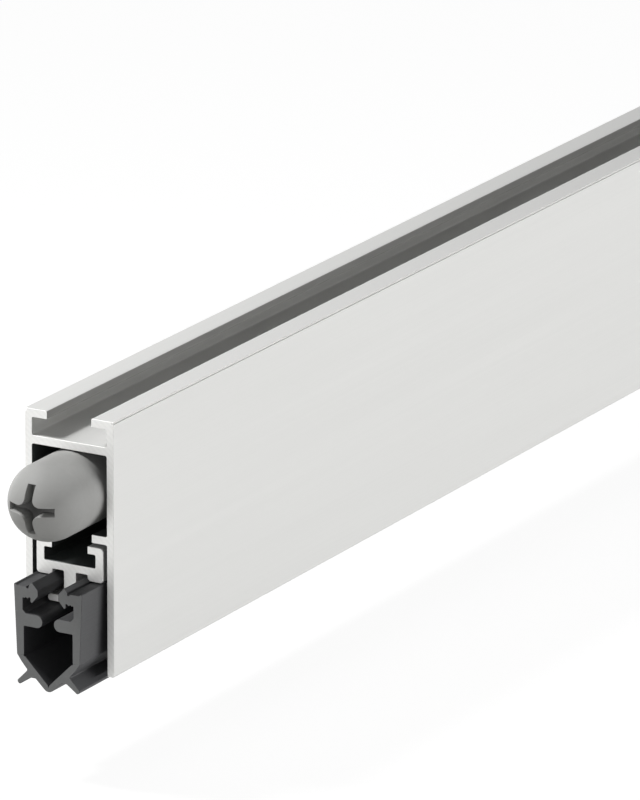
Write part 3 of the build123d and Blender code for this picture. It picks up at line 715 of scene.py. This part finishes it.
# Fixing screws: zinc-plated steel, countersunk, with a cross recess. They go through the left wall, one in the guide
# block and one in each anchor, and lie flush so that the housing slides into its groove.
head_radius, head_edge, head_depth = 2.18, 0.06, 1.0
shank_radius, shank_root, shank_pitch, point_radius, screw_length = 1.23, 0.3, 0.8, 0.8, 3.9
point_length, runout = 0.3, 0.5
recess_depth, recess = 0.7, {"half_width": 0.25, "reach": 1.2, "lobe": 0.25, "soft": 0.12}
face, thread = np.linspace(0, head_radius - head_edge, 34), np.linspace(head_depth, screw_length - point_length, 46)
depth = np.r_[0 * face, head_edge, head_depth, thread, screw_length, screw_length]
radius = np.r_[face, head_radius, shank_radius, 0 * thread + shank_radius, point_radius, 0.0]
a = np.linspace(0, 2 * np.pi, 96, endpoint=False)
u, v = radius[:, None] * np.cos(a), radius[:, None] * np.sin(a)
on_head = (np.arange(len(radius)) < len(face))[:, None]
sunk = depth[:, None] + on_head * recess_depth * cross_slot(u, v, **recess)
fade = np.clip((depth - head_depth) / runout, 0, 1) * (radius > point_radius)
radius = radius[:, None] - shank_root * thread_depth(depth[:, None] / shank_pitch - a / (2 * np.pi)) * fade[:, None]
screw = np.stack([sunk + outer_face, radius * np.cos(a), radius * np.sin(a) + axis_height], -1)
places = np.array([(0, place, 0) for place in screw_places])[:, None, None]
screws = gridded("fixing_screws_cross_recessed", screw + places, zinc_plate)
smoothed(screws, 40)
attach(screws, "housing")
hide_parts("fixing_screws")


# Drop bar: an extrusion of the same alloy. Its channel on top holds the two carriages, its feet bear on the seal
# and its T-rail below carries the seal. Sawn to the housing's length.
bar_right = [
    (3.3, -25.15, 0.4),
    (3.3, -24.2, 0.45),
    (0.9, -24.2, 0.2),
    (0.9, -20.85, 0.2),
    (2.6, -20.85, 0.15),
    (2.6, -21.35, 0.1),
    (2.95, -21.65, 0.1),
    (4.95, -21.65, 0.5),
    (4.95, -17.0, 0.6),
    (2.6, -17.0, 0.1),
    (2.6, -18.05, 0.1),
    (3.75, -18.05, 0.15),
    (3.75, -19.75, 0.15),
]
bar = extruded("drop_bar_rail", rounded(both_sides(bar_right)), start=0.0, end=length, burr=0.06,
               side=anodised_aluminium, cut=sawn_aluminium)
# Painted shade: the channel's inner faces take the dark painted-shade material.
lined(bar, inner=0.0, outer=3.8, top=-17.5, bottom=-20.0, material=painted_shade_aluminium)
smoothed(bar)
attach(bar, "drop_bar")
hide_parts("drop_bar")


# Rubber seal: one soft extrusion, pushed on the rail from the end. Two arms grip the rail, two fingers close the
# hollow, and a keel with a fin on each side meets the floor. It is cut 5.4 mm longer than the bar at both ends.

# Extruded synthetic rubber: dark grey and dull, with the die's faint lines along it, drawn 0.3 mm apart.
extruded_rubber, tree, shader = finish_of("extruded_rubber", {"Metallic": 0.0, "Roughness": 0.62})
where = add(tree, "ShaderNodeTexCoord")
along = add(tree, "ShaderNodeMapping", {"Vector": where.outputs["Object"], "Scale": (3.5 / MM, 0.02 / MM, 3.5 / MM)})
lines = add(tree, "ShaderNodeTexNoise", {"Vector": along.outputs[0], "Scale": 1.0, "Detail": 3.0})
tint = add(tree, "ShaderNodeMix", {"Factor": lines.outputs[0], "A": linear("#2F3032"), "B": linear("#38383A")},
           data_type="RGBA")
tree.links.new(tint.outputs[2], shader.inputs["Base Color"])
relief = add(tree, "ShaderNodeBump", {"Height": lines.outputs[0], "Strength": 0.2, "Distance": 0.1 * MM})
tree.links.new(relief.outputs[0], shader.inputs["Normal"])

# Where the knife has cut it the rubber is paler and duller, with a torn grain of 0.1 mm, drawn 0.4 mm across.
cut_rubber, tree, shader = finish_of("cut_rubber", {"Metallic": 0.0, "Roughness": 0.75})
where = add(tree, "ShaderNodeTexCoord")
grain = add(tree, "ShaderNodeTexNoise", {"Vector": where.outputs["Object"], "Scale": 2.5 / MM, "Detail": 3.0})
tint = add(tree, "ShaderNodeMix", {"Factor": grain.outputs[0], "A": linear("#727373"), "B": linear("#7B7C7C")},
           data_type="RGBA")
tree.links.new(tint.outputs[2], shader.inputs["Base Color"])
relief = add(tree, "ShaderNodeBump", {"Height": grain.outputs[0], "Strength": 0.15, "Distance": 0.1 * MM})
tree.links.new(relief.outputs[0], shader.inputs["Normal"])

seal_right = [
    (0.0, -35.75, 0.9),
    (1.917, -33.9, 0.25),
    (2.7, -33.9, 0.3),
    (4.3, -35.05, 0.27),
    (4.7, -34.6, 0.27),
    (3.1, -32.95, 0.2),
    (4.0, -31.9, 0.4),
    (4.65, -31.0, 0.5),
    (5.05, -21.4, 0.15),
    (4.6, -21.8, 0.15),
    (3.22, -21.8, 0.05),
    (3.15, -22.02, 0.1),
    (2.84, -21.98, 0.1),
    (2.86, -21.7, 0.05),
    (2.4, -21.1, 0.12),
    (1.5, -22.09, 0.15),
    (1.5, -22.89, 0.15),
    (2.4, -23.9, 0.08),
    (2.6, -23.7, 0.06),
    (2.6, -23.2, 0.06),
    (2.83, -23.2, 0.05),
    (3.06, -23.4, 0.05),
    (3.29, -23.2, 0.05),
    (3.52, -23.4, 0.05),
    (3.75, -23.2, 0.1),
    (3.75, -24.95, 0.2),
    (3.3, -25.4, 0.2),
    (0.85, -25.4, 0.84),
    (0.85, -27.1, 0.84),
    (3.6, -27.1, 0.15),
    (3.6, -31.0, 0.06),
    (3.85, -31.0, 0.06),
    (3.35, -31.25, 0.06),
    (0.1, -34.5, 0.06),
    (0.0, -34.85, 0.03),
]
overhang = 5.4
seal = extruded("seal_extrusion", rounded(both_sides(seal_right), steps=7), start=-overhang, end=length + overhang,
                burr=0.03, side=extruded_rubber, cut=cut_rubber)
smoothed(seal)
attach(seal, "drop_bar")
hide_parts("rubber_seal")
